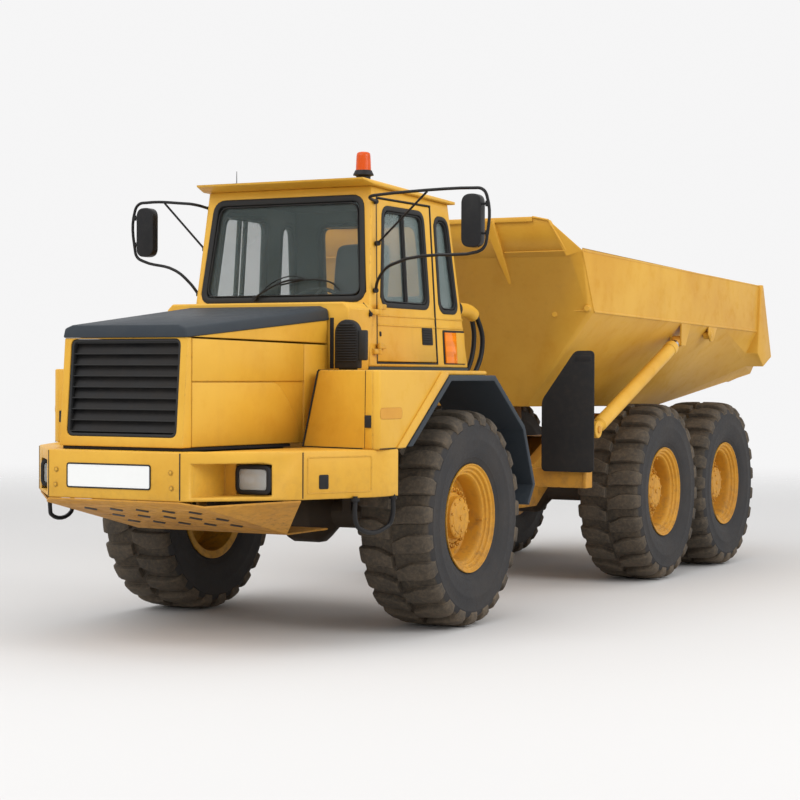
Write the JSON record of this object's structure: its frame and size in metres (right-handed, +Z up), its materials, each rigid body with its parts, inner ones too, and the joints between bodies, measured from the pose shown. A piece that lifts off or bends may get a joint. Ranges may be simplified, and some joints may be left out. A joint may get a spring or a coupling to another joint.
{
  "type": "articulated dump truck",
  "caption": "Six-wheel articulated dump truck with a pivot-steered frame, glazed cab, tilting hood and a V-shaped tipping body raised by two cylinders.",
  "frame": {"origin": "centre of the bounding box at ground level", "axes": "+Z up, the truck faces -Y, its left side is +X"},
  "size_m": [3.197, 10.01, 3.5398],
  "materials": {
    "yellow": "satin enamel, weathered",
    "frame_yellow": "satin enamel, dusty",
    "rim_yellow": "satin enamel, scuffed",
    "slate": "matt non-slip paint",
    "black_plastic": "matt",
    "rubber": "matt",
    "tyre": "dusty",
    "glass": "clear",
    "lamp_lens": "ribbed",
    "amber": "gloss",
    "seat_fabric": "woven",
    "chrome": "polished",
    "axle_iron": "oily and dusty"
  },
  "bodies": {
    "front_unit": {"front_frame": "frame_yellow", "front_axle": "axle_iron", "front_bumper": "yellow", "belly_plate": "frame_yellow", "headlamp_left": "lamp_lens", "headlamp_right": "lamp_lens", "hood_panels": "yellow", "grille": "black_plastic", "engine": "axle_iron", "cab_floor": "black_plastic", "cab_shell": "yellow", "cab_roof": "yellow", "windshield": "glass", "glass_rear": "glass", "glass_left": "glass", "glass_right": "glass", "glass_right_rear": "glass", "seat": "seat_fabric", "dashboard": "black_plastic", "beacon": "amber", "fender_left": "yellow", "fender_right": "yellow", "arch_band_left": "slate", "arch_band_right": "slate", "air_intake": "black_plastic", "mirror_left": "black_plastic", "mirror_right": "black_plastic", "rear_hoses": "black_plastic"},
    "hood": {"hood_lid": "slate", "hood_skirt": "yellow"},
    "door": {"door_left": "yellow", "glass_door": "glass"},
    "hitch": {"hitch": "frame_yellow"},
    "rear_unit": {"rear_frame": "frame_yellow", "bogie_beams": "frame_yellow", "rear_axle_bogie": "axle_iron", "rear_axle_last": "axle_iron"},
    "dump_body": {"dump_body": "yellow", "mudflap_left": "rubber", "mudflap_right": "rubber"},
    "wheel_front_left": {"tyre_front_left": "tyre", "rim_front_left": "rim_yellow"},
    "wheel_front_right": {"tyre_front_right": "tyre", "rim_front_right": "rim_yellow"},
    "wheel_bogie_left": {"tyre_bogie_left": "tyre", "rim_bogie_left": "rim_yellow"},
    "wheel_bogie_right": {"tyre_bogie_right": "tyre", "rim_bogie_right": "rim_yellow"},
    "wheel_last_left": {"tyre_last_left": "tyre", "rim_last_left": "rim_yellow"},
    "wheel_last_right": {"tyre_last_right": "tyre", "rim_last_right": "rim_yellow"},
    "hoist_barrel_left": {"hoist_barrel_left": "yellow"},
    "hoist_rod_left": {"hoist_rod_left": "chrome"},
    "hoist_barrel_right": {"hoist_barrel_right": "yellow"},
    "hoist_rod_right": {"hoist_rod_right": "chrome"}
  },
  "joints": [
    {"name": "steering", "type": "hinge", "parent": "front_unit", "child": "hitch", "pos_m": [-0.167, -1.115, 1.05], "axis": [0, 0, 1], "range_deg": [-45, 45]},
    {"name": "frame_roll", "type": "hinge", "parent": "hitch", "child": "rear_unit", "pos_m": [-0.167, -0.49, 1.05], "axis": [0, 1, 0], "range_deg": [-15, 15]},
    {"name": "body_tip", "type": "hinge", "parent": "rear_unit", "child": "dump_body", "pos_m": [-0.167, 3.535, 1.44], "axis": [-1, 0, 0], "range_deg": [0, 70]},
    {"name": "hood_hinge", "type": "hinge", "parent": "front_unit", "child": "hood", "pos_m": [-0.167, -4.875, 2.0984], "axis": [1, 0, 0], "range_deg": [0, 60]},
    {"name": "door_hinge", "type": "hinge", "parent": "front_unit", "child": "door", "pos_m": [0.655, -2.857, 2.2], "axis": [0, 0, -1], "range_deg": [0, 80]},
    {"name": "spin_front_left", "type": "hinge", "parent": "front_unit", "child": "wheel_front_left", "pos_m": [0.9655, -2.465, 0.80411], "axis": [1, 0, 0], "continuous": true},
    {"name": "spin_front_right", "type": "hinge", "parent": "front_unit", "child": "wheel_front_right", "pos_m": [-1.2995, -2.465, 0.80411], "axis": [1, 0, 0], "continuous": true},
    {"name": "spin_bogie_left", "type": "hinge", "parent": "rear_unit", "child": "wheel_bogie_left", "pos_m": [0.9655, 1.535, 0.80411], "axis": [1, 0, 0], "continuous": true},
    {"name": "spin_bogie_right", "type": "hinge", "parent": "rear_unit", "child": "wheel_bogie_right", "pos_m": [-1.2995, 1.535, 0.80411], "axis": [1, 0, 0], "continuous": true},
    {"name": "spin_last_left", "type": "hinge", "parent": "rear_unit", "child": "wheel_last_left", "pos_m": [0.9655, 3.209, 0.80411], "axis": [1, 0, 0], "continuous": true},
    {"name": "spin_last_right", "type": "hinge", "parent": "rear_unit", "child": "wheel_last_right", "pos_m": [-1.2995, 3.209, 0.80411], "axis": [1, 0, 0], "continuous": true},
    {"name": "barrel_swing_left", "type": "hinge", "parent": "rear_unit", "child": "hoist_barrel_left", "pos_m": [1.123, 0.095, 1.4], "axis": [1, 0, 0], "range_deg": [0, 3]},
    {"name": "rod_slide_left", "type": "slide", "parent": "hoist_barrel_left", "child": "hoist_rod_left", "axis": [0, 0.9301, 0.3674], "range_m": [0, 1.8602]},
    {"name": "barrel_swing_right", "type": "hinge", "parent": "rear_unit", "child": "hoist_barrel_right", "pos_m": [-1.457, 0.095, 1.4], "axis": [1, 0, 0], "range_deg": [0, 3]},
    {"name": "rod_slide_right", "type": "slide", "parent": "hoist_barrel_right", "child": "hoist_rod_right", "axis": [0, 0.9301, 0.3674], "range_m": [0, 1.8602]}
  ],
  "couplings": [
    {"joint": "barrel_swing_left", "follows": "body_tip", "ratio": 0.039343},
    {"joint": "rod_slide_left", "follows": "body_tip", "m_per_rad": 1.5201},
    {"joint": "barrel_swing_right", "follows": "body_tip", "ratio": 0.039343},
    {"joint": "rod_slide_right", "follows": "body_tip", "m_per_rad": 1.5201}
  ]
}
